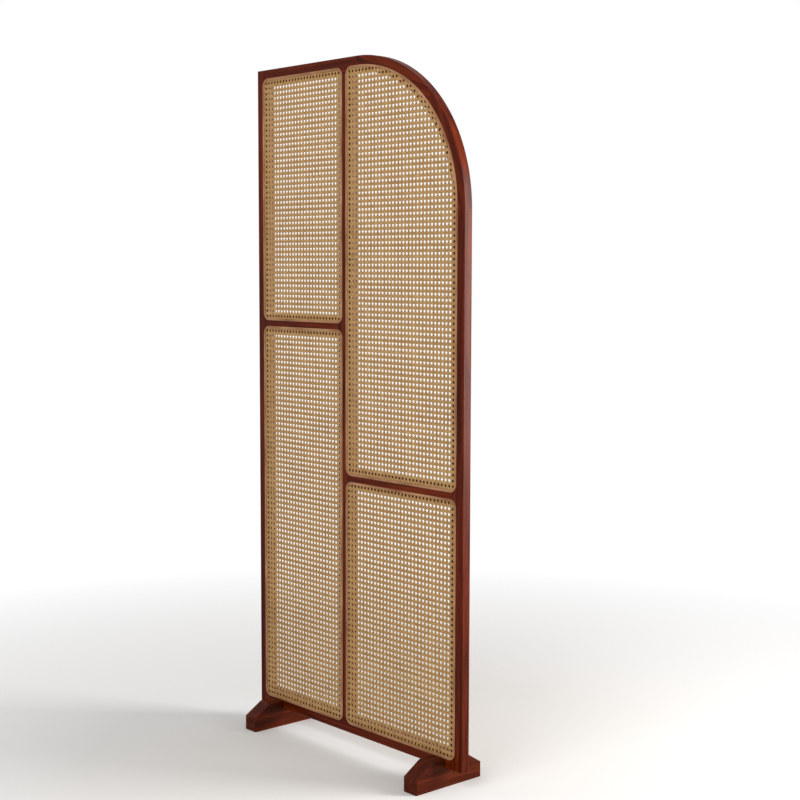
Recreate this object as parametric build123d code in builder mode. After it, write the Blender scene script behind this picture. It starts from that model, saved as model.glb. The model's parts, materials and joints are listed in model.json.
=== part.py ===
"""Free-standing screen: one rigid wooden panel with four cane-webbed cells, on two cross feet.

Millimetres, +Z up. X runs along the panel, the webbed front looks along -Y, and the origin is on
the floor under the middle of the panel. The frame is joined with mortises and tenons, and its
quarter arch with loose tenons. Each cell's webbing lies in a recess routed across the joints, and a
binder strip covers its edge. The feet are slotted over the bottom rail and bolted from below.
"""

import os
from dataclasses import dataclass
from math import cos, hypot, radians, sin

from build123d import *

os.makedirs("parts", exist_ok=True)

# Frame
frame_width = 814
frame_height = 1752
frame_depth = 27
floor_gap = 48
edge_ease = 2

# Wood left showing round the cells, and the lip that carries the webbing behind each edge
rim_show = 23
centre_show = 13
cross_show = 15
lip = 18

# Places of the inner members' middles, from the frame's left edge and from its bottom edge
centre_stile_at = 369.5
left_rail_at = 1068.5
right_rail_at = 675.5

# Straight stretch of the top rail between the centre stile and the arch
arch_lead = 25
split_angle = 45

# How much tighter the arched cell's corner is than the frame's arch
crown_ease = 6

# Recess, webbing and binder strip
cell_corner = 22
cane_thick = 1.8
cane_gap = 0.3
binder_width = 6.5
binder_thick = 1.5
binder_edge = 0.6
binder_proud = 1
mesh_pitch = 66
mesh_opening = 37
mesh_sides = 8
mesh_margin = 5

# Mortise-and-tenon joints
tenon_thick = 9
tenon_length = 24
tenon_shoulder = 8
tenon_gap = 0.15
mortise_relief = 1

# Loose tenons across the arch's joints
loose_tenon_width = 24
loose_tenon_length = 40

# Cross feet
foot_inset = 56
foot_thick = 47
foot_length = 218
foot_height = 70
foot_end_height = 38
foot_slope = 51
foot_round = 3
slot_gap = 0.3

# Bolts, washers and threaded inserts
bolt_diameter = 8
bolt_length = 45
bolt_gap = 0.3
head_diameter = 13
head_height = 8
socket_width = 6
socket_depth = 4
washer_diameter = 16
washer_thick = 1.6
bore_gap = 0.75
bore_depth = 16
insert_diameter = 12
insert_length = 13
insert_gap = 0.1
insert_relief = 1

# Edges and widths worked out from the sizes above
left = -frame_width / 2
right = frame_width / 2
base = floor_gap
top = floor_gap + frame_height
front = Plane.XZ.offset(frame_depth / 2)
rim_width = rim_show + lip
centre_width = centre_show + 2 * lip
cross_width = cross_show + 2 * lip
centre_x = left + centre_stile_at
left_rail_z = base + left_rail_at
right_rail_z = base + right_rail_at
recess_depth = cane_thick + binder_thick - binder_proud

# The arch springs from the right stile and ends at the top rail
arch_x = centre_x + centre_width / 2 + arch_lead
arch_radius = right - arch_x
arch_z = top - arch_radius
arch_inner = arch_radius - rim_width
arch_middle = arch_radius - rim_width / 2
arch_angles = (0, split_angle, 90)


@dataclass
class Cell:
    """Recess of one webbed cell, with the radius of its upper right corner."""

    name: str
    left: float
    right: float
    bottom: float
    top: float
    crown: float = cell_corner

    @property
    def middle(self) -> tuple[float, float]:
        return ((self.left + self.right) / 2, (self.bottom + self.top) / 2)


@dataclass
class Joint:
    """Mortise-and-tenon joint, by the middle of its shoulder and the width of its member."""

    x: float
    z: float
    width: float
    upright: bool = False


column_left = (left + rim_show, centre_x - centre_show / 2)
column_right = (centre_x + centre_show / 2, right - rim_show)
cells = [
    Cell("lower_left", *column_left, base + rim_show, left_rail_z - cross_show / 2),
    Cell("upper_left", *column_left, left_rail_z + cross_show / 2, top - rim_show),
    Cell("lower_right", *column_right, base + rim_show, right_rail_z - cross_show / 2),
    Cell("upper_right", *column_right, right_rail_z + cross_show / 2, top - rim_show,
         arch_radius - rim_show - crown_ease),
]

stile_face = left + rim_width
far_stile_face = right - rim_width
centre_faces = (centre_x - centre_width / 2, centre_x + centre_width / 2)
bottom_left_joint = Joint(stile_face, base + rim_width / 2, rim_width)
bottom_right_joint = Joint(far_stile_face, base + rim_width / 2, rim_width)
top_left_joint = Joint(stile_face, top - rim_width / 2, rim_width)
left_rail_joints = [Joint(x, left_rail_z, cross_width) for x in (stile_face, centre_faces[0])]
right_rail_joints = [Joint(x, right_rail_z, cross_width) for x in (centre_faces[1], far_stile_face)]
centre_bottom_joint = Joint(centre_x, base + rim_width, centre_width, upright=True)
centre_top_joint = Joint(centre_x, top - rim_width, centre_width, upright=True)

foot_x = right - foot_inset - foot_thick / 2
bolt_seat = bore_depth - washer_thick
stand_up = (Align.CENTER, Align.CENTER, Align.MIN)
hang_down = (Align.CENTER, Align.CENTER, Align.MAX)
bolt_spots = [(-foot_x, 0), (foot_x, 0)]


def plane_below(height: float) -> Plane:
    """Plane at a height that faces the floor, for holes drilled upwards."""
    return Plane((0, 0, height), x_dir=(1, 0, 0), z_dir=(0, 0, -1))


def joint_block(joint: Joint, length: float, gap: float, mode: Mode) -> None:
    """Add a tenon, or cut its mortise, reaching the length to both sides of the shoulder."""
    across = joint.width - 2 * tenon_shoulder + 2 * gap
    thick = tenon_thick + 2 * gap
    size = (across, thick, 2 * length) if joint.upright else (2 * length, thick, across)
    with Locations((joint.x, 0, joint.z)):
        Box(*size, mode=mode)


def tenon(joint: Joint) -> None:
    """Add a joint's tenon to the member being built."""
    joint_block(joint, tenon_length, 0, Mode.ADD)


def mortise(joint: Joint) -> None:
    """Cut a joint's mortise into the member being built."""
    joint_block(joint, tenon_length + mortise_relief, tenon_gap, Mode.SUBTRACT)


def arch_plane(angle: float) -> Plane:
    """Plane of the arch's joint at an angle, with X pointing out along the radius."""
    out = Vector(cos(radians(angle)), 0, sin(radians(angle)))
    along = Vector(-sin(radians(angle)), 0, cos(radians(angle)))
    return Plane(Vector(arch_x, 0, arch_z) + out * arch_middle, x_dir=out, z_dir=along)


def loose_tenon(angle: float, gap: float, relief: float, mode: Mode) -> None:
    """Add the loose tenon across one of the arch's joints, or cut its mortises."""
    with Locations(arch_plane(angle)):
        Box(loose_tenon_width + 2 * gap, tenon_thick + 2 * gap, loose_tenon_length + 2 * relief,
            mode=mode)


def arch_mortise(angle: float) -> None:
    """Cut the mortise for the loose tenon at one of the arch's joints."""
    loose_tenon(angle, tenon_gap, mortise_relief, Mode.SUBTRACT)


def cell_face(cell: Cell, inset: float = 0) -> Sketch:
    """Outline of a cell's recess as a face, drawn in all round by the inset."""
    with BuildSketch() as outline:
        with Locations(cell.middle):
            Rectangle(cell.right - cell.left - 2 * inset, cell.top - cell.bottom - 2 * inset)
        *square_corners, crown_corner = outline.vertices().sort_by(lambda v: v.X + v.Y)
        fillet(square_corners, cell_corner - inset)
        crown_corner = outline.vertices().sort_by(lambda v: v.X + v.Y)[-1]
        fillet(crown_corner, cell.crown - inset)
    return outline.sketch


def mesh_spots(cell: Cell) -> list[tuple[float, float]]:
    """Middles of the gaps in a cell's webbing, on a square grid inside the lip."""
    reach = lip + mesh_margin + mesh_opening / 2
    width = cell.right - cell.left - 2 * reach
    height = cell.top - cell.bottom - 2 * reach
    columns = int(width // mesh_pitch) + 1
    rows = int(height // mesh_pitch) + 1
    x_start = cell.middle[0] - (columns - 1) * mesh_pitch / 2
    z_start = cell.middle[1] - (rows - 1) * mesh_pitch / 2
    spots = []
    for column in range(columns):
        for row in range(rows):
            x = x_start + column * mesh_pitch
            z = z_start + row * mesh_pitch
            past_x = x - (cell.right - cell.crown)
            past_z = z - (cell.top - cell.crown)
            beyond = past_x > 0 and past_z > 0 and hypot(past_x, past_z) > cell.crown - reach
            if not beyond:
                spots.append((x, z))
    return spots


with BuildSketch(front) as recesses:
    for cell in cells:
        add(cell_face(cell))

with BuildPart() as left_stile:
    with BuildSketch(Plane.XZ):
        with Locations((left + rim_width / 2, (base + top) / 2)):
            Rectangle(rim_width, frame_height)
    extrude(amount=frame_depth / 2, both=True)
    outer_edges = left_stile.edges().filter_by(Axis.Z).group_by(Axis.X)[0]
    chamfer(outer_edges + left_stile.edges().filter_by(Axis.X), edge_ease)
    extrude(recesses.sketch, amount=-recess_depth, mode=Mode.SUBTRACT)
    for joint in (bottom_left_joint, left_rail_joints[0], top_left_joint):
        mortise(joint)

with BuildPart() as right_stile:
    with BuildSketch(Plane.XZ):
        with Locations((right - rim_width / 2, (base + arch_z) / 2)):
            Rectangle(rim_width, arch_z - base)
    extrude(amount=frame_depth / 2, both=True)
    outer_edges = right_stile.edges().filter_by(Axis.Z).group_by(Axis.X)[-1]
    chamfer(outer_edges + right_stile.edges().filter_by(Axis.X).group_by(Axis.Z)[0], edge_ease)
    extrude(recesses.sketch, amount=-recess_depth, mode=Mode.SUBTRACT)
    for joint in (bottom_right_joint, right_rail_joints[1]):
        mortise(joint)
    arch_mortise(arch_angles[0])

with BuildPart() as bottom_rail:
    with BuildSketch(Plane.XZ):
        with Locations(((stile_face + far_stile_face) / 2, base + rim_width / 2)):
            Rectangle(far_stile_face - stile_face, rim_width)
    extrude(amount=frame_depth / 2, both=True)
    chamfer(bottom_rail.edges().filter_by(Axis.X).group_by(Axis.Z)[0], edge_ease)
    extrude(recesses.sketch, amount=-recess_depth, mode=Mode.SUBTRACT)
    tenon(bottom_left_joint)
    tenon(bottom_right_joint)
    mortise(centre_bottom_joint)
    with Locations(plane_below(base)):
        with Locations(*bolt_spots):
            Hole(insert_diameter / 2 + insert_gap, insert_length + insert_relief)

with BuildPart() as top_rail:
    with BuildSketch(Plane.XZ):
        with Locations(((stile_face + arch_x) / 2, top - rim_width / 2)):
            Rectangle(arch_x - stile_face, rim_width)
    extrude(amount=frame_depth / 2, both=True)
    chamfer(top_rail.edges().filter_by(Axis.X).group_by(Axis.Z)[-1], edge_ease)
    extrude(recesses.sketch, amount=-recess_depth, mode=Mode.SUBTRACT)
    tenon(top_left_joint)
    mortise(centre_top_joint)
    arch_mortise(arch_angles[-1])

arch_parts = {}
for name, (start, end) in {"arch_lower": arch_angles[:2], "arch_upper": arch_angles[1:]}.items():
    with BuildPart() as arch:
        with BuildSketch(Plane.XZ):
            with BuildLine():
                outer_arc = CenterArc((arch_x, arch_z), arch_radius, start, end - start)
                inner_arc = CenterArc((arch_x, arch_z), arch_inner, start, end - start)
                Line(outer_arc @ 0, inner_arc @ 0)
                Line(outer_arc @ 1, inner_arc @ 1)
            make_face()
        extrude(amount=frame_depth / 2, both=True)
        arcs = arch.edges().filter_by(GeomType.CIRCLE).group_by(SortBy.RADIUS)[-1]
        chamfer(arcs, edge_ease)
        extrude(recesses.sketch, amount=-recess_depth, mode=Mode.SUBTRACT)
        arch_mortise(start)
        arch_mortise(end)
    arch_parts[name] = arch

with BuildPart() as centre_stile:
    with BuildSketch(Plane.XZ):
        with Locations((centre_x, (base + top) / 2)):
            Rectangle(centre_width, frame_height - 2 * rim_width)
    extrude(amount=frame_depth / 2, both=True)
    extrude(recesses.sketch, amount=-recess_depth, mode=Mode.SUBTRACT)
    tenon(centre_bottom_joint)
    tenon(centre_top_joint)
    mortise(left_rail_joints[1])
    mortise(right_rail_joints[0])

cross_parts = {}
for name, joints in {"left_cross_rail": left_rail_joints, "right_cross_rail": right_rail_joints}.items():
    with BuildPart() as cross_rail:
        with BuildSketch(Plane.XZ):
            with Locations(((joints[0].x + joints[1].x) / 2, joints[0].z)):
                Rectangle(joints[1].x - joints[0].x, cross_width)
        extrude(amount=frame_depth / 2, both=True)
        extrude(recesses.sketch, amount=-recess_depth, mode=Mode.SUBTRACT)
        for joint in joints:
            tenon(joint)
    cross_parts[name] = cross_rail

with BuildPart() as arch_tenons:
    for angle in arch_angles:
        loose_tenon(angle, 0, 0, Mode.ADD)

cane_parts = {}
binder_parts = {}
for cell in cells:
    with BuildPart() as cane:
        with BuildSketch(front.offset(cane_thick - recess_depth)):
            add(cell_face(cell, cane_gap))
            with Locations(*mesh_spots(cell)):
                RegularPolygon(mesh_opening / 2, mesh_sides, major_radius=False,
                               rotation=180 / mesh_sides, mode=Mode.SUBTRACT)
        extrude(amount=-cane_thick)
    cane_parts[f"cane_{cell.name}"] = cane

    with BuildPart() as binder:
        with BuildSketch(front.offset(binder_proud)):
            add(cell_face(cell, cane_gap))
            add(cell_face(cell, cane_gap + binder_width), mode=Mode.SUBTRACT)
        extrude(amount=-binder_thick)
        chamfer(binder.edges().group_by(Axis.Y)[0], binder_edge)
    binder_parts[f"binder_{cell.name}"] = binder

foot_parts = {}
for name, x in {"left_foot": -foot_x, "right_foot": foot_x}.items():
    with BuildPart() as foot:
        with BuildSketch(Plane.YZ.offset(x)):
            with BuildLine():
                reach = foot_length / 2
                Polyline((-reach, 0), (-reach, foot_end_height), (foot_slope - reach, foot_height),
                         (reach - foot_slope, foot_height), (reach, foot_end_height), (reach, 0),
                         close=True)
            make_face()
        extrude(amount=foot_thick / 2, both=True)
        across = foot.edges().filter_by(Axis.X)
        outline_edges = foot.edges() - foot.edges().group_by(Axis.Z)[0] - across
        fillet(outline_edges, foot_round)
        with Locations((x, 0, floor_gap)):
            Box(foot_thick, frame_depth + 2 * slot_gap, foot_height,
                align=stand_up, mode=Mode.SUBTRACT)
        with Locations(plane_below(0)):
            with Locations((x, 0)):
                CounterBoreHole(bolt_diameter / 2 + bolt_gap, washer_diameter / 2 + bore_gap, bore_depth)
    foot_parts[name] = foot

with BuildPart() as foot_bolts:
    with Locations(Plane.XY.offset(bolt_seat)):
        with Locations(*bolt_spots):
            Cylinder(bolt_diameter / 2, bolt_length, align=stand_up)
            Cylinder(head_diameter / 2, head_height, align=hang_down)
    with BuildSketch(Plane.XY.offset(bolt_seat - head_height)):
        with Locations(*bolt_spots):
            RegularPolygon(socket_width / 2, 6, major_radius=False)
    extrude(amount=socket_depth, mode=Mode.SUBTRACT)

with BuildPart() as bolt_washers:
    with BuildSketch(Plane.XY.offset(bolt_seat)):
        with Locations(*bolt_spots):
            Circle(washer_diameter / 2)
            Circle(bolt_diameter / 2 + bolt_gap, mode=Mode.SUBTRACT)
    extrude(amount=washer_thick)

with BuildPart() as thread_inserts:
    with BuildSketch(Plane.XY.offset(base)):
        with Locations(*bolt_spots):
            Circle(insert_diameter / 2)
            Circle(bolt_diameter / 2 + insert_gap, mode=Mode.SUBTRACT)
    extrude(amount=insert_length)

pieces = {
    "left_stile": left_stile,
    "right_stile": right_stile,
    "bottom_rail": bottom_rail,
    "top_rail": top_rail,
    "centre_stile": centre_stile,
    "arch_tenons": arch_tenons,
    "foot_bolts": foot_bolts,
    "bolt_washers": bolt_washers,
    "thread_inserts": thread_inserts,
    **arch_parts,
    **cross_parts,
    **cane_parts,
    **binder_parts,
    **foot_parts,
}
for name, piece in pieces.items():
    piece.part.label = name
    export_step(piece.part, f"parts/{name}.step")
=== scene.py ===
"""Look of the cane screen panel: woven webbing, binder strips, stained wood, camera and studio.

Metres, +Z up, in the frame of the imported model. X runs along the panel and the webbed front
looks along -Y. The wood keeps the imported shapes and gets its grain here. The plain nets and flat
strips of the four cells are replaced by strands that are woven one over another, and by binder
strips with rounded edges.
"""

import json
import logging
import math
from collections.abc import Callable, Iterable
from dataclasses import dataclass
from enum import Enum

import bpy
from mathutils import Matrix, Vector

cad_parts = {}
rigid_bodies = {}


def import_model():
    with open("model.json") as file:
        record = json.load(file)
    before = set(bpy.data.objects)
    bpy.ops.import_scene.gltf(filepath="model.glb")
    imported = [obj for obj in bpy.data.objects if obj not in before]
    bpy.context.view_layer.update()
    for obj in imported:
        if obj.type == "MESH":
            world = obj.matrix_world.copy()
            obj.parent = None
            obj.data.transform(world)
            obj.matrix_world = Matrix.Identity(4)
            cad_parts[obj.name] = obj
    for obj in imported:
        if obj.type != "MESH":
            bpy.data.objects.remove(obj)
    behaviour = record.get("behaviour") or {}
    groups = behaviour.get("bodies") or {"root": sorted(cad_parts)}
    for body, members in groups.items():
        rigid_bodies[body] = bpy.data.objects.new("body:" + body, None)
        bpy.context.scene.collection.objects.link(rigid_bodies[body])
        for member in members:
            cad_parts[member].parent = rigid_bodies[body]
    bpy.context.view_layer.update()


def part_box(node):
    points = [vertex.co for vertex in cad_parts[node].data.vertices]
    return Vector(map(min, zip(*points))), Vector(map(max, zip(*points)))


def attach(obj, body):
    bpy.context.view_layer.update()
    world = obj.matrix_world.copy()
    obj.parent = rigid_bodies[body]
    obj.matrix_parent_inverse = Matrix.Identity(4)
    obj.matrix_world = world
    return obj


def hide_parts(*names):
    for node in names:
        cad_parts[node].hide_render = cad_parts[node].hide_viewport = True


log = logging.getLogger("screen")

ROOT_BODY = "root"
NEAR = 1e-5  # Metres within which two places count as the same
Colour = tuple[float, float, float]
Spot = tuple[float, float, float]
BLACK: Colour = (0, 0, 0)
WHITE: Colour = (1, 1, 1)


def srgb(red: int, green: int, blue: int) -> Colour:
    """Turn a colour as a screen shows it into the linear one that a shader takes.

    Args:
        red: Red, from 0 to 255.
        green: Green, from 0 to 255.
        blue: Blue, from 0 to 255.

    Returns:
        The linear red, green and blue, from 0 to 1.
    """
    def linear(level: int) -> float:
        """One channel's linear share.

        Args:
            level: The channel as a screen shows it.

        Returns:
            Its share of full light.
        """
        share = level / 255
        if share <= 0.04045:
            return share / 12.92
        return ((share + 0.055) / 1.055) ** 2.4

    return (linear(red), linear(green), linear(blue))


class Run(Enum):
    """Way that a strand or a grain runs, as the turn in degrees that brings it from upright."""

    UPRIGHT = (0, 0, 0)
    LOWER_ARCH = (0, -22.5, 0)
    UPPER_ARCH = (0, -67.5, 0)
    CROSSWISE = (0, 90, 0)
    RISING = (0, 45, 0)
    FALLING = (0, 135, 0)
    FRONT_TO_BACK = (90, 0, 0)

    @property
    def turn(self) -> Spot:
        """The turn in radians."""
        return tuple(math.radians(angle) for angle in self.value)


class Shader:
    """Node tree of one material, with short calls to add nodes and to join them."""

    # Places of the colour mix's sockets, whose names it shares with its other kinds of mix
    MIX_FACTOR, MIX_FIRST, MIX_SECOND, MIX_RESULT = 0, 6, 7, 2

    def __init__(self, name: str) -> None:
        """Start a material that holds a Principled shader.

        Args:
            name: Name of the material.
        """
        self.material = bpy.data.materials.new(name)
        self.material.use_nodes = True
        self.tree = self.material.node_tree
        self.surface = self.tree.nodes["Principled BSDF"]
        self.output = self.tree.nodes["Material Output"]

    def node(self, kind: str, inputs: dict[str, object] | None = None,
             **settings: object) -> bpy.types.Node:
        """Add a node.

        Args:
            kind: Blender's type name of the node.
            inputs: Values of its sockets by name.
            **settings: Its properties by name.

        Returns:
            The new node.
        """
        made = self.tree.nodes.new(kind)
        for name, value in settings.items():
            setattr(made, name, value)
        for name, value in (inputs or {}).items():
            made.inputs[name].default_value = value
        return made

    def join(self, source: bpy.types.NodeSocket, target: bpy.types.NodeSocket) -> None:
        """Link one socket to another."""
        self.tree.links.new(source, target)

    def plain(self, **values: float) -> None:
        """Set numbers that are the same all over, on the surface's own sockets.

        Args:
            **values: Numbers by socket name in small letters, with _ for a space.
        """
        sockets = {socket.name.lower().replace(" ", "_"): socket for socket in self.surface.inputs}
        for name, value in values.items():
            sockets[name].default_value = value

    def ramp(self, factor: bpy.types.NodeSocket,
             stops: list[tuple[float, Colour]]) -> bpy.types.NodeSocket:
        """Turn a factor into a colour.

        Args:
            factor: Socket that drives the ramp.
            stops: Places from 0 to 1 with their linear colours.

        Returns:
            The ramp's colour socket.
        """
        ramp = self.node("ShaderNodeValToRGB")
        points = ramp.color_ramp.elements
        while len(points) < len(stops):
            points.new(0.5)
        for point, (place, colour) in zip(points, stops):
            point.position = place
            point.color = (*colour, 1)
        self.join(factor, ramp.inputs["Fac"])
        return ramp.outputs["Color"]

    def span(self, factor: bpy.types.NodeSocket, source: tuple[float, float],
             target: tuple[float, float]) -> bpy.types.NodeSocket:
        """Stretch one span of numbers to another, held at its ends.

        Args:
            factor: Socket that gives the numbers.
            source: Ends of the span that they lie in.
            target: Ends of the span that they go to.

        Returns:
            The socket of the new numbers.
        """
        spread = self.node("ShaderNodeMapRange", {"From Min": source[0], "From Max": source[1],
                                                  "To Min": target[0], "To Max": target[1]})
        self.join(factor, spread.inputs["Value"])
        return spread.outputs["Result"]

    def blend(self, kind: str, factor: float | bpy.types.NodeSocket, first: bpy.types.NodeSocket,
              second: bpy.types.NodeSocket) -> bpy.types.NodeSocket:
        """Mix two colours.

        Args:
            kind: Blender's name of the way of mixing.
            factor: Share of the second colour, as a number or a socket.
            first: Socket of the first colour.
            second: Socket of the second colour.

        Returns:
            The mixed colour's socket.
        """
        mix = self.node("ShaderNodeMix", data_type="RGBA", blend_type=kind)
        if isinstance(factor, float):
            mix.inputs[self.MIX_FACTOR].default_value = factor
        else:
            self.join(factor, mix.inputs[self.MIX_FACTOR])
        self.join(first, mix.inputs[self.MIX_FIRST])
        self.join(second, mix.inputs[self.MIX_SECOND])
        return mix.outputs[self.MIX_RESULT]

    def along_grain(self, run: Run, along: float, start: Spot) -> bpy.types.NodeSocket:
        """Object coordinates turned so that the grain is upright, and drawn out along it.

        Args:
            run: Way that the grain runs.
            along: Scale along the grain, where the scale across is 1.
            start: Shift of the pattern, which differs between pieces.

        Returns:
            The socket of the turned coordinates.
        """
        place = self.node("ShaderNodeTexCoord")
        turn = self.node("ShaderNodeMapping", {"Rotation": run.turn, "Location": start},
                         vector_type="TEXTURE")
        stretch = self.node("ShaderNodeMapping", {"Scale": (1, 1, along)})
        self.join(place.outputs["Object"], turn.inputs["Vector"])
        self.join(turn.outputs["Vector"], stretch.inputs["Vector"])
        return stretch.outputs["Vector"]

    def noise(self, vector: bpy.types.NodeSocket, scale: float, detail: float,
              distortion: float = 0) -> bpy.types.NodeSocket:
        """Noise in some coordinates.

        Args:
            vector: Socket of the coordinates.
            scale: Grains per metre.
            detail: Number of finer layers.
            distortion: How far the pattern is pulled about.

        Returns:
            The socket of the noise's factor.
        """
        noise = self.node("ShaderNodeTexNoise",
                          {"Scale": scale, "Detail": detail, "Distortion": distortion})
        self.join(vector, noise.inputs["Vector"])
        return noise.outputs["Fac"]

    def dress(self, colour: bpy.types.NodeSocket, roughness: bpy.types.NodeSocket) -> None:
        """Give the surface the colour and the roughness of two sockets."""
        self.join(colour, self.surface.inputs["Base Color"])
        self.join(roughness, self.surface.inputs["Roughness"])

    def bump(self, height: bpy.types.NodeSocket, distance: float, strength: float) -> None:
        """Raise the surface by a height pattern.

        Args:
            height: Socket of the pattern.
            distance: Height of its full range in metres.
            strength: Share of it that shows.
        """
        bump = self.node("ShaderNodeBump", {"Strength": strength, "Distance": distance})
        self.join(height, bump.inputs["Height"])
        self.join(bump.outputs["Normal"], self.surface.inputs["Normal"])


@dataclass(frozen=True)
class StainedWood:
    """Red-brown stained hardwood with long streaks, fine dark pores and a satin lacquer."""

    name: str
    run: Run
    start: Spot
    dark: Colour = srgb(52, 12, 1)
    middle: Colour = srgb(82, 24, 5)
    light: Colour = srgb(110, 40, 12)
    fibre_shade: Colour = (0.7, 0.66, 0.62)
    fibre_shine: Colour = (1.12, 1.12, 1.12)
    pore_shade: Colour = (0.42, 0.38, 0.36)

    def make(self) -> bpy.types.Material:
        """Build the material.

        Returns:
            The material, whose grain runs the way that the finish says.
        """
        shader = Shader(self.name)
        grain = shader.along_grain(self.run, along=0.045, start=self.start)
        pores = shader.along_grain(self.run, along=0.09, start=self.start)
        streaks = shader.noise(grain, scale=55, detail=6, distortion=1.2)
        fibres = shader.noise(grain, scale=420, detail=3)
        pits = shader.noise(pores, scale=900, detail=2)
        colour = shader.ramp(streaks, [(0.3, self.dark), (0.5, self.middle), (0.74, self.light)])
        fibre_tint = shader.ramp(fibres, [(0.32, self.fibre_shade), (0.66, self.fibre_shine)])
        pore_tint = shader.ramp(pits, [(0.33, self.pore_shade), (0.43, WHITE)])
        colour = shader.blend("MULTIPLY", 0.85, colour, fibre_tint)
        colour = shader.blend("MULTIPLY", 0.7, colour, pore_tint)
        shader.dress(colour, shader.span(streaks, (0.3, 0.7), (0.42, 0.32)))
        shader.bump(pits, distance=0.00012, strength=0.35)
        shader.plain(specular_ior_level=0.01, coat_weight=0.14, coat_roughness=0.34)
        return shader.material


@dataclass(frozen=True)
class CaneSkin:
    """Glossy tan skin of a rattan strand, whose tone changes from strand to strand."""

    name: str
    run: Run
    start: Spot
    dark: Colour = srgb(150, 112, 64)
    middle: Colour = srgb(174, 137, 86)
    light: Colour = srgb(194, 158, 106)
    streak_shade: Colour = (0.82, 0.77, 0.7)

    def make(self) -> bpy.types.Material:
        """Build the material.

        Returns:
            The material, whose fibres run along the strand.
        """
        shader = Shader(self.name)
        lengths = shader.along_grain(self.run, along=0.012, start=self.start)
        fibres = shader.along_grain(self.run, along=0.05, start=self.start)
        tones = shader.noise(lengths, scale=210, detail=2)
        streaks = shader.noise(fibres, scale=2600, detail=2)
        colour = shader.ramp(tones, [(0.3, self.dark), (0.52, self.middle), (0.72, self.light)])
        streak_tint = shader.ramp(streaks, [(0.32, self.streak_shade), (0.6, WHITE)])
        colour = shader.blend("MULTIPLY", 0.6, colour, streak_tint)
        shader.dress(colour, shader.span(streaks, (0.3, 0.7), (0.52, 0.4)))
        shader.bump(streaks, distance=0.00006, strength=0.4)
        shader.plain(specular_ior_level=0.3)
        return shader.material


@dataclass(frozen=True)
class BinderReed:
    """Pinkish tan reed whose fibres follow the strip round the cell, with a butt joint at its ends."""

    name: str
    dark: Colour = srgb(126, 84, 56)
    middle: Colour = srgb(154, 110, 76)
    light: Colour = srgb(176, 134, 98)
    fibre_shade: Colour = (0.72, 0.66, 0.6)
    joint_width: float = 0.0004
    joint_tone: float = 0.35

    def make(self) -> bpy.types.Material:
        """Build the material.

        Returns:
            The material, which reads the strip's own map of lengths.
        """
        shader = Shader(self.name)
        lengths = shader.node("ShaderNodeUVMap", uv_map=BinderStrip.LENGTHS)
        stretch = shader.node("ShaderNodeMapping", {"Scale": (0.03, 1, 1)})
        shader.join(lengths.outputs["UV"], stretch.inputs["Vector"])
        fibres = shader.noise(stretch.outputs["Vector"], scale=1500, detail=4)
        tones = shader.noise(stretch.outputs["Vector"], scale=300, detail=2)
        colour = shader.ramp(tones, [(0.3, self.dark), (0.5, self.middle), (0.7, self.light)])
        fibre_tint = shader.ramp(fibres, [(0.3, self.fibre_shade), (0.62, WHITE)])
        colour = shader.blend("MULTIPLY", 0.6, colour, fibre_tint)
        parts = shader.node("ShaderNodeSeparateXYZ")
        shader.join(lengths.outputs["UV"], parts.inputs["Vector"])
        joint = shader.span(parts.outputs["X"], (self.joint_width, 1.5 * self.joint_width),
                            (self.joint_tone, 1))
        joint_tint = shader.ramp(joint, [(0, BLACK), (1, WHITE)])
        colour = shader.blend("MULTIPLY", 1.0, colour, joint_tint)
        shader.dress(colour, shader.span(fibres, (0.3, 0.7), (0.62, 0.48)))
        shader.bump(fibres, distance=0.00015, strength=0.5)
        shader.plain(specular_ior_level=0.25)
        return shader.material


@dataclass(frozen=True)
class TurnedMetal:
    """Bare metal with fine turning marks round an upright axis and a little staining."""

    name: str
    clean: Colour
    stained: Colour

    def make(self) -> bpy.types.Material:
        """Build the material.

        Returns:
            The material, with marks that lie level.
        """
        shader = Shader(self.name)
        level = shader.along_grain(Run.UPRIGHT, along=30, start=(0, 0, 0))
        even = shader.along_grain(Run.UPRIGHT, along=1, start=(0, 0, 0))
        marks = shader.noise(level, scale=60, detail=2)
        stains = shader.noise(even, scale=260, detail=4)
        colour = shader.ramp(stains, [(0.4, self.clean), (0.75, self.stained)])
        shader.dress(colour, shader.span(marks, (0.3, 0.7), (0.24, 0.42)))
        shader.bump(marks, distance=0.00003, strength=0.4)
        shader.plain(metallic=1)
        return shader.material


def finish_node(name: str, material: bpy.types.Material) -> None:
    """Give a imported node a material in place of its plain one.

    Args:
        name: Name of the node.
        material: Material that it gets.
    """
    slots = bpy.data.objects[name].data.materials
    if slots:
        slots[0] = material
    else:
        slots.append(material)
    log.info("%s is finished with %s", name, material.name)


def clear_selection() -> None:
    """Deselect every object."""
    bpy.ops.object.select_all(action="DESELECT")


def only(piece: bpy.types.Object) -> None:
    """Make one object the only selected one, and the active one.

    Args:
        piece: The object.
    """
    clear_selection()
    piece.select_set(True)
    bpy.context.view_layer.objects.active = piece


def place(piece: bpy.types.Object, move: Spot = (0, 0, 0), turn: Spot = (0, 0, 0),
          scale: Spot = (1, 1, 1)) -> None:
    """Move, turn and scale a piece's mesh about the origin, and leave its object there.

    Args:
        piece: The piece.
        move: How far it moves.
        turn: Turn about X, Y and Z in radians.
        scale: Scale along X, Y and Z.
    """
    only(piece)
    piece.location = move
    piece.rotation_euler = turn
    piece.scale = scale
    bpy.ops.object.transform_apply(location=True, rotation=True, scale=True)


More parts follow.
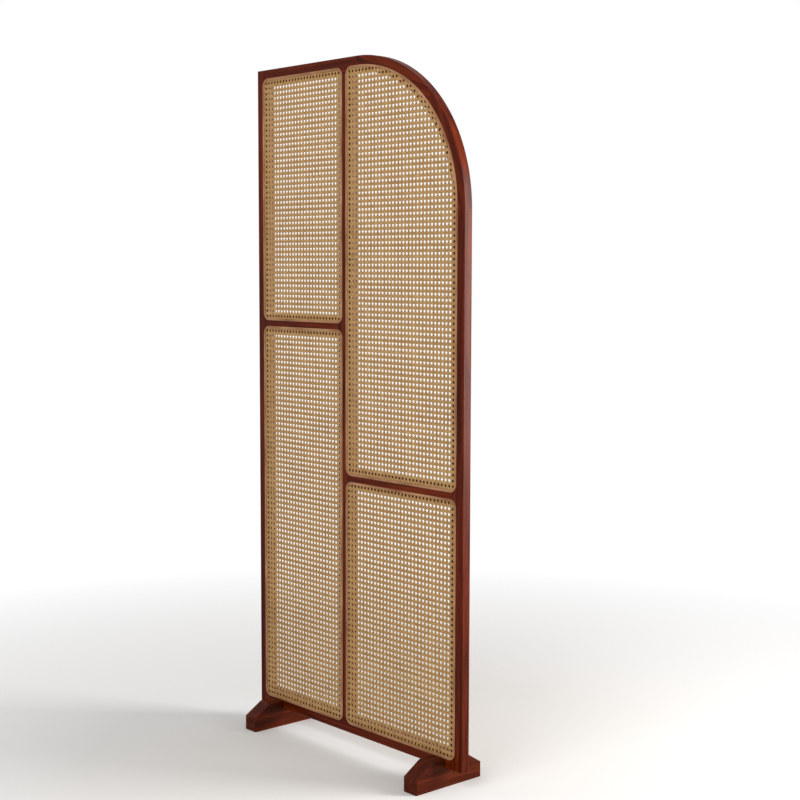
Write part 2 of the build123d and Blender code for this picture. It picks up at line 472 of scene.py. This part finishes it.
def upright_plate(middle: Spot, width: float, height: float) -> bpy.types.Object:
    """Add a flat plate that stands upright along X.

    Args:
        middle: Its middle.
        width: Its size along X.
        height: Its size along Z.

    Returns:
        The plate, with its place in its mesh.
    """
    clear_selection()
    bpy.ops.mesh.primitive_plane_add(size=1, location=middle, rotation=(math.pi / 2, 0, 0))
    plate = bpy.context.object
    plate.scale = (width, height, 1)
    bpy.ops.object.transform_apply(location=True, rotation=True, scale=True)
    return plate


def apply_modifier(piece: bpy.types.Object, kind: str, **settings: object) -> None:
    """Add a modifier to a piece and apply it.

    Args:
        piece: The piece.
        kind: Blender's name of the modifier.
        **settings: Its properties by name.
    """
    only(piece)
    modifier = piece.modifiers.new(kind.title(), kind)
    for name, value in settings.items():
        setattr(modifier, name, value)
    bpy.ops.object.modifier_apply(modifier=modifier.name)


def repeat(piece: bpy.types.Object, count: int, step: Spot, merge: bool = False) -> None:
    """Repeat a piece along a line, within its own mesh.

    Args:
        piece: The piece.
        count: How many there are in all.
        step: Way from one to the next.
        merge: Whether each is welded to the one before.
    """
    apply_modifier(piece, "ARRAY", count=count, use_relative_offset=False, use_constant_offset=True,
                   constant_offset_displace=step, use_merge_vertices=merge, merge_threshold=NEAR)


def choose(piece: bpy.types.Object, mode: str, wanted: Callable[[Vector], bool]) -> None:
    """Select what lies where it is wanted, while the piece is being edited.

    Args:
        piece: The piece, in edit mode.
        mode: VERT, EDGE or FACE.
        wanted: Says of a place whether it is wanted. An edge is where all its ends are.
    """
    bpy.ops.mesh.select_mode(type=mode)
    bpy.ops.mesh.select_all(action="DESELECT")
    bpy.ops.object.mode_set(mode="OBJECT")
    mesh = piece.data
    parts = {"VERT": mesh.vertices, "EDGE": mesh.edges, "FACE": mesh.polygons}[mode]
    for part in parts:
        if mode == "VERT":
            part.select = wanted(part.co)
        elif mode == "EDGE":
            part.select = all(wanted(mesh.vertices[corner].co) for corner in part.vertices)
        else:
            part.select = wanted(part.center)
    bpy.ops.object.mode_set(mode="EDIT")


@dataclass(frozen=True)
class Cell:
    """Webbed cell of the panel, whose outline is that of its packed webbing.

    It says how many holes its webbing shows each way, and how far in from the outline the middles
    of the outermost ones lie, on its left and right sides and at its bottom and top. The crown is
    its upper right corner. Facets trim the webbing at a corner, and segments round the strip there.
    """

    name: str
    columns: int
    rows: int
    side_holes: tuple[float, float]
    end_holes: tuple[float, float]
    corner: float = 0.0217
    crown: float = 0.0217
    corner_facets: int = 3
    crown_facets: int = 3
    corner_segments: int = 10
    crown_segments: int = 10

    @property
    def web_node(self) -> str:
        """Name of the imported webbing."""
        return f"cane_{self.name}"

    @property
    def binder_node(self) -> str:
        """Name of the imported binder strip."""
        return f"binder_{self.name}"

    @property
    def low(self) -> Vector:
        """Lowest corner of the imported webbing."""
        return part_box(self.web_node)[0]

    @property
    def high(self) -> Vector:
        """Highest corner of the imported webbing."""
        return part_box(self.web_node)[1]

    def corners(self) -> list[tuple[float, float, float, float, int]]:
        """List the rounded corners anticlockwise, from the crown.

        Returns:
            The middle in X and Z, start angle, radius and number of facets of each.
        """
        low, high, small, large = self.low, self.high, self.corner, self.crown
        return [
            (high.x - large, high.z - large, 0, large, self.crown_facets),
            (low.x + small, high.z - small, 90, small, self.corner_facets),
            (low.x + small, low.z + small, 180, small, self.corner_facets),
            (high.x - small, low.z + small, 270, small, self.corner_facets),
        ]

    def trim_planes(self, inset: float) -> list[tuple[Spot, Spot]]:
        """Planes round the outline, each with a point on it and its way outwards.

        Args:
            inset: How far inside the outline they lie.

        Returns:
            The planes of the four sides and of the corners' facets.
        """
        planes = []
        for x, z, start, radius, facets in self.corners():
            for facet in range(facets + 1):
                angle = math.radians(start + 90 * facet / (facets + 1))
                out = Vector((math.cos(angle), 0, math.sin(angle)))
                point = Vector((x, 0, z)) + out * (radius - inset)
                planes.append((tuple(point), tuple(out)))
        return planes


@dataclass
class Webbing:
    """Machine-woven cane of one cell: pairs of upright and level strands, and single diagonals.

    Hug is how far from the middle of a crossing a diagonal starts to bend, as a share of half the
    pair that it crosses. Trim is how far the webbing ends inside the outline, and spare is how many
    pitches are laid beyond the holes, to be trimmed off. The depths are how far a strand's middle
    lies in front of the webbing's middle, or behind it, where it crosses another.
    """

    cell: Cell
    pitch: float = 0.0136
    width: float = 0.0029
    thick: float = 0.00055
    pair_gap: float = 0.0003
    hug: float = 0.84
    trim: float = 0.0007
    spare: int = 3
    pair_depth: float = 0.0003
    diagonal_depth: float = 0.0006

    def __post_init__(self) -> None:
        """Work out how far the strands of a pair lie from its middle."""
        self.half_step = (self.width + self.pair_gap) / 2
        self.half_pair = self.half_step + self.width / 2

    def strand(self, across: float, stations: list[tuple[float, float]]) -> bpy.types.Object:
        """Model one pitch of an upright strand as a ribbon that goes over and under.

        Args:
            across: Place of its middle along X.
            stations: Heights with how far the ribbon comes forward there.

        Returns:
            The ribbon.
        """
        first, second, *others = stations
        length = second[0] - first[0]
        ribbon = upright_plate((across, 0, first[0] + length / 2), self.width, length)
        bpy.ops.object.mode_set(mode="EDIT")
        for height, forward in (first, second):
            choose(ribbon, "EDGE", lambda spot: abs(spot.z - height) < NEAR)
            bpy.ops.transform.translate(value=(0, -forward, 0))
        previous = second
        for station in others:
            step = (0, previous[1] - station[1], station[0] - previous[0])
            bpy.ops.mesh.extrude_region_move(TRANSFORM_OT_translate={"value": step})
            previous = station
        bpy.ops.object.mode_set(mode="OBJECT")
        return ribbon

    def pair(self) -> bpy.types.Object:
        """Model one pitch of a pair of upright strands, each over one level strand and under one.

        Returns:
            The pair as one mesh.
        """
        near = self.half_step
        clear = self.pitch / 2 - self.half_step - self.width * math.sqrt(0.5)
        ribbons = []
        for side in (-1, 1):
            forward = side * self.pair_depth
            stations = [(-near, forward), (near, -forward), (clear, 0), (self.pitch - clear, 0),
                        (self.pitch - near, forward)]
            ribbons.append(self.strand(side * near, stations))
        only(ribbons[0])
        ribbons[1].select_set(True)
        bpy.ops.object.join()
        return ribbons[0]

    def diagonal(self, side: int) -> bpy.types.Object:
        """Model one pitch of a diagonal strand, still upright.

        Args:
            side: 1 where it passes in front of the upright pairs, -1 where it passes behind.

        Returns:
            The ribbon.
        """
        slant = math.sqrt(2)
        half, edge, forward = self.pitch / 2, self.hug * self.half_pair, side * self.diagonal_depth
        stations = [(-edge, forward), (edge, forward), (half - edge, -forward), (half + edge, -forward),
                    (self.pitch - edge, forward)]
        return self.strand(0, [(height * slant, depth) for height, depth in stations])

    def spread(self, run: Run) -> bpy.types.Object:
        """Lay one family of strands over a block of square pitches that is larger than the cell.

        Args:
            run: Way that the strands run.

        Returns:
            The family as one mesh of ribbons, with the first hole's square at the origin. The
            diagonals cross each pair half way between the pairs' own crossings.
        """
        pitch = self.pitch
        wide, high = self.cell.columns + self.spare, self.cell.rows + self.spare
        if run is Run.UPRIGHT:
            strands, start = self.pair(), (-pitch, 0, -pitch)
            along, across = (high, (0, 0, pitch)), (wide, (pitch, 0, 0))
        elif run is Run.CROSSWISE:
            strands, start = self.pair(), (-pitch, 0, -pitch)
            along, across = (wide, (pitch, 0, 0)), (high, (0, 0, pitch))
        elif run is Run.RISING:
            strands, start = self.diagonal(1), (-high * pitch, 0, -1.5 * pitch)
            along, across = (high + 1, (pitch, 0, pitch)), (wide + high, (pitch, 0, 0))
        else:
            strands, start = self.diagonal(-1), (-high * pitch, 0, (high - 1.5) * pitch)
            along, across = (high + 1, (pitch, 0, -pitch)), (wide + high, (pitch, 0, 0))
        place(strands, turn=run.turn)
        place(strands, move=start)
        repeat(strands, *along, merge=True)
        repeat(strands, *across)
        return strands

    def weave(self, run: Run) -> bpy.types.Object:
        """Make one family of strands that fills the cell.

        Args:
            run: Way that the strands run.

        Returns:
            The family, trimmed under the binder strip.
        """
        strands = self.spread(run)
        low, high = self.cell.low, self.cell.high
        sides, ends = self.cell.side_holes, self.cell.end_holes
        pitch_x = (high.x - low.x - sum(sides)) / (self.cell.columns - 1)
        pitch_z = (high.z - low.z - sum(ends)) / (self.cell.rows - 1)
        middle = (low.y + high.y) / 2
        corner = (low.x + sides[0] - pitch_x / 2, middle, low.z + ends[0] - pitch_z / 2)
        place(strands, move=corner, scale=(pitch_x / self.pitch, 1, pitch_z / self.pitch))
        bpy.ops.object.mode_set(mode="EDIT")
        bpy.ops.mesh.select_mode(type="FACE")
        for point, out in self.cell.trim_planes(self.trim):
            bpy.ops.mesh.select_all(action="SELECT")
            bpy.ops.mesh.bisect(plane_co=point, plane_no=out, clear_outer=True)
        bpy.ops.object.mode_set(mode="OBJECT")
        apply_modifier(strands, "SOLIDIFY", thickness=self.thick, offset=0, use_even_offset=True)
        bpy.ops.object.shade_smooth()
        strands.name = f"web_{self.cell.name}_{run.name.lower()}"
        return strands

    def build(self, skins: dict[Run, bpy.types.Material]) -> None:
        """Weave and dress the cell's four families of strands.

        Args:
            skins: Material of each family.
        """
        for run, skin in skins.items():
            strands = self.weave(run)
            strands.data.materials.append(skin)
            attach(strands, ROOT_BODY)
            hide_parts(self.cell.web_node)
            log.info("%s has %d faces", strands.name, len(strands.data.polygons))


@dataclass
class BinderStrip:
    """Rounded reed strip that covers the edge of one cell's webbing.

    The length along it is measured on its middle line, with arc_steps short runs round each corner.
    """

    LENGTHS = "lengths"

    cell: Cell
    width: float = 0.0065
    round_over: float = 0.0012
    round_segments: int = 4
    smooth_angle: float = 40
    arc_steps: int = 24

    def model(self) -> bpy.types.Object:
        """Model the strip from a plate: round its corners, cut out its middle, thicken and ease it.

        Returns:
            The closed strip.
        """
        low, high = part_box(self.cell.binder_node)
        middle, size = (low + high) / 2, high - low
        strip = upright_plate((middle.x, high.y, middle.z), size.x, size.z)
        bpy.ops.object.mode_set(mode="EDIT")

        def at_crown(spot: Vector) -> bool:
            """Whether a place is in the upper right quarter."""
            return spot.x > middle.x and spot.z > middle.z

        for wanted, radius, segments in (
            (lambda spot: not at_crown(spot), self.cell.corner, self.cell.corner_segments),
            (lambda spot: (spot.xz - high.xz).length < NEAR, self.cell.crown, self.cell.crown_segments),
        ):
            choose(strip, "VERT", wanted)
            bpy.ops.mesh.bevel(offset=radius, segments=segments, profile=0.5, affect="VERTICES")
        bpy.ops.mesh.select_mode(type="FACE")
        bpy.ops.mesh.select_all(action="SELECT")
        bpy.ops.mesh.inset(thickness=self.width)
        bpy.ops.mesh.delete(type="FACE")
        bpy.ops.mesh.select_all(action="SELECT")
        bpy.ops.mesh.extrude_region_move(TRANSFORM_OT_translate={"value": (0, low.y - high.y, 0)})
        bpy.ops.mesh.select_all(action="SELECT")
        bpy.ops.mesh.normals_make_consistent(inside=False)
        choose(strip, "EDGE", lambda spot: abs(spot.y - low.y) < NEAR)
        bpy.ops.mesh.region_to_loop()
        bpy.ops.mesh.bevel(offset=self.round_over, segments=self.round_segments, profile=0.5,
                           affect="EDGES")
        bpy.ops.object.mode_set(mode="OBJECT")
        bpy.ops.object.shade_smooth_by_angle(angle=math.radians(self.smooth_angle))
        strip.name = f"reed_{self.cell.name}"
        return strip

    def centre_line(self) -> list[tuple[Vector, float]]:
        """Points along the middle of the strip, from the middle of its bottom run anticlockwise.

        Returns:
            Each point in X and Z with its length from the start.
        """
        low, high = self.cell.low, self.cell.high
        start = Vector(((low.x + high.x) / 2, low.z + self.width / 2))
        crown, top_left, low_left, low_right = self.cell.corners()
        points = [start]
        for x, z, angle, radius, _ in (low_right, crown, top_left, low_left):
            for step in range(self.arc_steps + 1):
                turn = math.radians(angle + 90 * step / self.arc_steps)
                reach = radius - self.width / 2
                points.append(Vector((x + reach * math.cos(turn), z + reach * math.sin(turn))))
        points.append(start)
        lengths = [0.0]
        for before, after in zip(points, points[1:]):
            lengths.append(lengths[-1] + (after - before).length)
        return list(zip(points, lengths))

    def map_lengths(self, strip: bpy.types.Object) -> None:
        """Give the strip a map of the length along it, with the place across it as second number.

        Args:
            strip: The strip.
        """
        line = self.centre_line()
        whole = line[-1][1]
        runs = [(first, second, start, end) for (first, start), (second, end) in zip(line, line[1:])]

        def length_at(spot: Vector) -> tuple[float, float]:
            """Find a place's length along the strip.

            Args:
                spot: The place in X and Z.

            Returns:
                How far it is from the middle line, and the length there.
            """
            best = (math.inf, 0.0)
            for first, second, start, end in runs:
                way = second - first
                share = max(0.0, min(1.0, (spot - first).dot(way) / max(way.length_squared, NEAR**2)))
                off = (spot - first - way * share).length
                best = min(best, (off, start + (end - start) * share))
            return best

        mesh = strip.data
        # The strips on the left and on the right start their fibres at different places across.
        shift = self.cell.low.x + self.cell.corner
        spots = [length_at(vertex.co.xz) for vertex in mesh.vertices]
        layer = mesh.uv_layers.new(name=self.LENGTHS)
        for face in mesh.polygons:
            lengths = [spots[corner][1] for corner in face.vertices]
            wraps = max(lengths) - min(lengths) > whole / 2
            for loop in face.loop_indices:
                vertex = mesh.vertices[mesh.loops[loop].vertex_index]
                off, length = spots[vertex.index]
                if wraps and length < whole / 2:
                    length += whole
                layer.data[loop].uv = (length, off + vertex.co.y - shift)

    def build(self, reed: bpy.types.Material) -> None:
        """Make and dress the strip.

        Args:
            reed: Its material.
        """
        strip = self.model()
        self.map_lengths(strip)
        strip.data.materials.append(reed)
        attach(strip, ROOT_BODY)
        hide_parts(self.cell.binder_node)
        log.info("%s has %d faces", strip.name, len(strip.data.polygons))


@dataclass
class WoodFrame:
    """Stiles, rails and arch of the panel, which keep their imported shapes."""

    upright: tuple[str, ...] = ("left_stile", "right_stile", "centre_stile")
    crosswise: tuple[str, ...] = ("bottom_rail", "top_rail", "left_cross_rail", "right_cross_rail")
    shift: float = 0.37

    def dress(self) -> None:
        """Give every member wood whose grain runs along it, cut from its own part of the board."""
        members = [(name, Run.UPRIGHT) for name in self.upright]
        members += [(name, Run.CROSSWISE) for name in self.crosswise]
        members += [("arch_lower", Run.LOWER_ARCH), ("arch_upper", Run.UPPER_ARCH)]
        for number, (name, run) in enumerate(members):
            start = (self.shift * number, self.shift * 2 * number, self.shift * number)
            finish_node(name, StainedWood(f"stained_{name}", run, start).make())


@dataclass
class CrossFeet:
    """The two feet across the ends of the bottom rail."""

    names: tuple[str, ...] = ("left_foot", "right_foot")
    shift: float = 1.3

    def dress(self) -> None:
        """Give each foot wood a little more orange than the frame's, with its grain along the foot."""
        for number, name in enumerate(self.names):
            start = (self.shift * (number + 1), 0, self.shift)
            wood = StainedWood(f"stained_{name}", Run.FRONT_TO_BACK, start, dark=srgb(50, 14, 2),
                               middle=srgb(74, 24, 6), light=srgb(98, 40, 14))
            finish_node(name, wood.make())


@dataclass
class Fixings:
    """Hidden loose tenons, and the bolts, washers and threaded inserts under the feet."""

    beech: StainedWood = StainedWood("tenon_beech", Run.UPRIGHT, (2.1, 0.4, 0.9),
                                     dark=srgb(176, 128, 88), middle=srgb(198, 152, 110),
                                     light=srgb(214, 172, 130))
    steel: TurnedMetal = TurnedMetal("bolt_steel", srgb(170, 172, 174), srgb(120, 118, 114))
    brass: TurnedMetal = TurnedMetal("insert_brass", srgb(196, 160, 92), srgb(140, 104, 56))

    def dress(self) -> None:
        """Give the tenons pale wood and the hardware its metals."""
        finish_node("arch_tenons", self.beech.make())
        steel = self.steel.make()
        finish_node("foot_bolts", steel)
        finish_node("bolt_washers", steel)
        finish_node("thread_inserts", self.brass.make())


class Surround(Shader):
    """Node tree of the world round the studio."""

    def __init__(self) -> None:
        """Start an empty world."""
        world = bpy.data.worlds.new("surround")
        bpy.context.scene.world = world
        world.use_nodes = True
        self.tree = world.node_tree
        self.tree.nodes.clear()
        self.output = self.tree.nodes.new("ShaderNodeOutputWorld")


@dataclass(frozen=True)
class SoftLamp:
    """Square or oblong studio lamp that looks at a point."""

    name: str
    spot: Spot
    aim: Spot
    width: float
    height: float
    power: float
    tint: Colour = WHITE

    def hang(self) -> None:
        """Make the lamp, which the camera doesn't see."""
        data = bpy.data.lights.new(self.name, "AREA")
        data.shape = "RECTANGLE"
        data.size, data.size_y = self.width, self.height
        data.energy = self.power
        data.color = self.tint
        lamp = bpy.data.objects.new(self.name, data)
        lamp.location = self.spot
        lamp.rotation_euler = (Vector(self.aim) - Vector(self.spot)).to_track_quat("-Z", "Y").to_euler()
        lamp.visible_camera = False
        bpy.context.scene.collection.objects.link(lamp)


@dataclass
class Studio:
    """Pale floor, soft lamps and a white surround."""

    floor_radius: float = 9
    floor_sides: int = 96
    floor_colour: Colour = (0.7, 0.7, 0.695)
    fade_start: float = 0.7
    fade_end: float = 2.4
    ambient: float = 0.6
    lamps: tuple[SoftLamp, ...] = (
        SoftLamp("window_lamp", spot=(2.7, 2.3, 1.45), aim=(0.4, 0, 1.2), width=1.4, height=2.3,
                 power=200, tint=(1, 0.96, 0.92)),
        SoftLamp("front_lamp", spot=(1.2, -3.4, 3.0), aim=(0, 0, 0.9), width=2.4, height=2.4,
                 power=88, tint=(1, 0.985, 0.96)),
    )

    def lay_floor(self) -> None:
        """Lay a round floor that fades into the white surround for the camera."""
        clear_selection()
        bpy.ops.mesh.primitive_circle_add(vertices=self.floor_sides, radius=self.floor_radius,
                                          fill_type="NGON")
        floor = bpy.context.object
        floor.name = "studio_floor"
        shader = Shader("studio_pale")
        shader.plain(roughness=0.9, specular_ior_level=0.1)
        shader.surface.inputs["Base Color"].default_value = (*self.floor_colour, 1)
        spot = shader.node("ShaderNodeTexCoord")
        away = shader.node("ShaderNodeVectorMath", operation="LENGTH")
        shader.join(spot.outputs["Object"], away.inputs[0])
        fade = shader.span(away.outputs["Value"], (self.fade_start, self.fade_end), (0, 1))
        seen = shader.node("ShaderNodeMath", operation="MULTIPLY")
        shader.join(fade, seen.inputs[0])
        shader.join(self.in_view(shader), seen.inputs[1])
        white = shader.node("ShaderNodeEmission")
        mix = shader.node("ShaderNodeMixShader")
        shader.join(seen.outputs["Value"], mix.inputs["Fac"])
        shader.join(shader.surface.outputs["BSDF"], mix.inputs[1])
        shader.join(white.outputs["Emission"], mix.inputs[2])
        shader.join(mix.outputs["Shader"], shader.output.inputs["Surface"])
        floor.data.materials.append(shader.material)

    @staticmethod
    def in_view(shader: Shader) -> bpy.types.NodeSocket:
        """Whether the camera sees a place, straight or in a mirror or glass.

        Args:
            shader: Node tree that asks.

        Returns:
            The socket that is 1 where it does.
        """
        path = shader.node("ShaderNodeLightPath")
        either = shader.node("ShaderNodeMath", operation="MAXIMUM")
        any_way = shader.node("ShaderNodeMath", operation="MAXIMUM")
        shader.join(path.outputs["Is Camera Ray"], either.inputs[0])
        shader.join(path.outputs["Is Glossy Ray"], either.inputs[1])
        shader.join(either.outputs["Value"], any_way.inputs[0])
        shader.join(path.outputs["Is Transmission Ray"], any_way.inputs[1])
        return any_way.outputs["Value"]

    def light(self) -> None:
        """Hang the lamps and make the surround white to the camera and dimmer to the object."""
        for lamp in self.lamps:
            lamp.hang()
        surround = Surround()
        soft = surround.node("ShaderNodeBackground", {"Strength": self.ambient})
        white = surround.node("ShaderNodeBackground", {"Strength": 1})
        for background in (soft, white):
            background.inputs["Color"].default_value = (*WHITE, 1)
        mix = surround.node("ShaderNodeMixShader")
        surround.join(self.in_view(surround), mix.inputs["Fac"])
        surround.join(soft.outputs["Background"], mix.inputs[1])
        surround.join(white.outputs["Background"], mix.inputs[2])
        surround.join(mix.outputs["Shader"], surround.output.inputs["Surface"])

    def build(self) -> None:
        """Set up the floor, the light and the plain view transform."""
        bpy.context.scene.view_settings.view_transform = "Standard"
        self.lay_floor()
        self.light()
        log.info("the studio has %d lamps", len(self.lamps))


@dataclass
class PhotoCamera:
    """Camera that stands where the photograph was taken from.

    Heading is the way that it looks, anticlockwise from X, and it, the pitch and the roll are in
    degrees. The lens is in millimetres.
    """

    spot: Spot = (2.93034, -2.45465, 1.27481)
    heading: float = 138.398
    pitch: float = -5.17
    roll: float = 0.127
    lens: float = 66.955

    def set_up(self) -> None:
        """Make the camera and point it."""
        heading, pitch, roll = (math.radians(angle) for angle in (self.heading, self.pitch, self.roll))
        ahead = Vector((math.cos(pitch) * math.cos(heading), math.cos(pitch) * math.sin(heading),
                        math.sin(pitch)))
        level = ahead.cross(Vector((0, 0, 1))).normalized()
        upright = level.cross(ahead)
        side = level * math.cos(roll) + upright * math.sin(roll)
        data = bpy.data.cameras.new("photo_camera")
        data.lens = self.lens
        camera = bpy.data.objects.new("photo_camera", data)
        turn = Matrix((side, side.cross(ahead), -ahead)).transposed().to_4x4()
        camera.matrix_world = Matrix.Translation(self.spot) @ turn
        bpy.context.scene.collection.objects.link(camera)
        bpy.context.scene.camera = camera


@dataclass
class CanePanel:
    """Webbing and binder strips of the four cells."""

    cells: tuple[Cell, ...] = (
        Cell("lower_left", 25, 73, (0.0140, 0.0150), (0.0125, 0.0120)),
        Cell("upper_left", 25, 46, (0.0148, 0.0153), (0.0122, 0.0130)),
        Cell("lower_right", 31, 45, (0.0112, 0.0126), (0.0106, 0.0100)),
        Cell("upper_right", 31, 74, (0.0150, 0.0122), (0.0150, 0.0130), crown=0.3657, crown_facets=12,
             crown_segments=60),
    )

    def build(self) -> None:
        """Fill every cell and cover the edges of its webbing."""
        skins = {
            Run.UPRIGHT: CaneSkin("cane_upright", Run.UPRIGHT, (0, 0, 0)).make(),
            Run.CROSSWISE: CaneSkin("cane_crosswise", Run.CROSSWISE, (0.3, 0.1, 0.2)).make(),
            Run.RISING: CaneSkin("cane_rising", Run.RISING, (0.7, 0.4, 0.1)).make(),
            Run.FALLING: CaneSkin("cane_falling", Run.FALLING, (1.1, 0.2, 0.5)).make(),
        }
        reed = BinderReed("binder_reed").make()
        for cell in self.cells:
            Webbing(cell).build(skins)
            BinderStrip(cell).build(reed)


def main() -> None:
    """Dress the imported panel, weave its cells and set up the studio."""
    logging.basicConfig(level=logging.INFO, format="%(name)s: %(message)s")
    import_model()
    PhotoCamera().set_up()
    WoodFrame().dress()
    CrossFeet().dress()
    Fixings().dress()
    CanePanel().build()
    Studio().build()


if __name__ == "__main__":
    main()
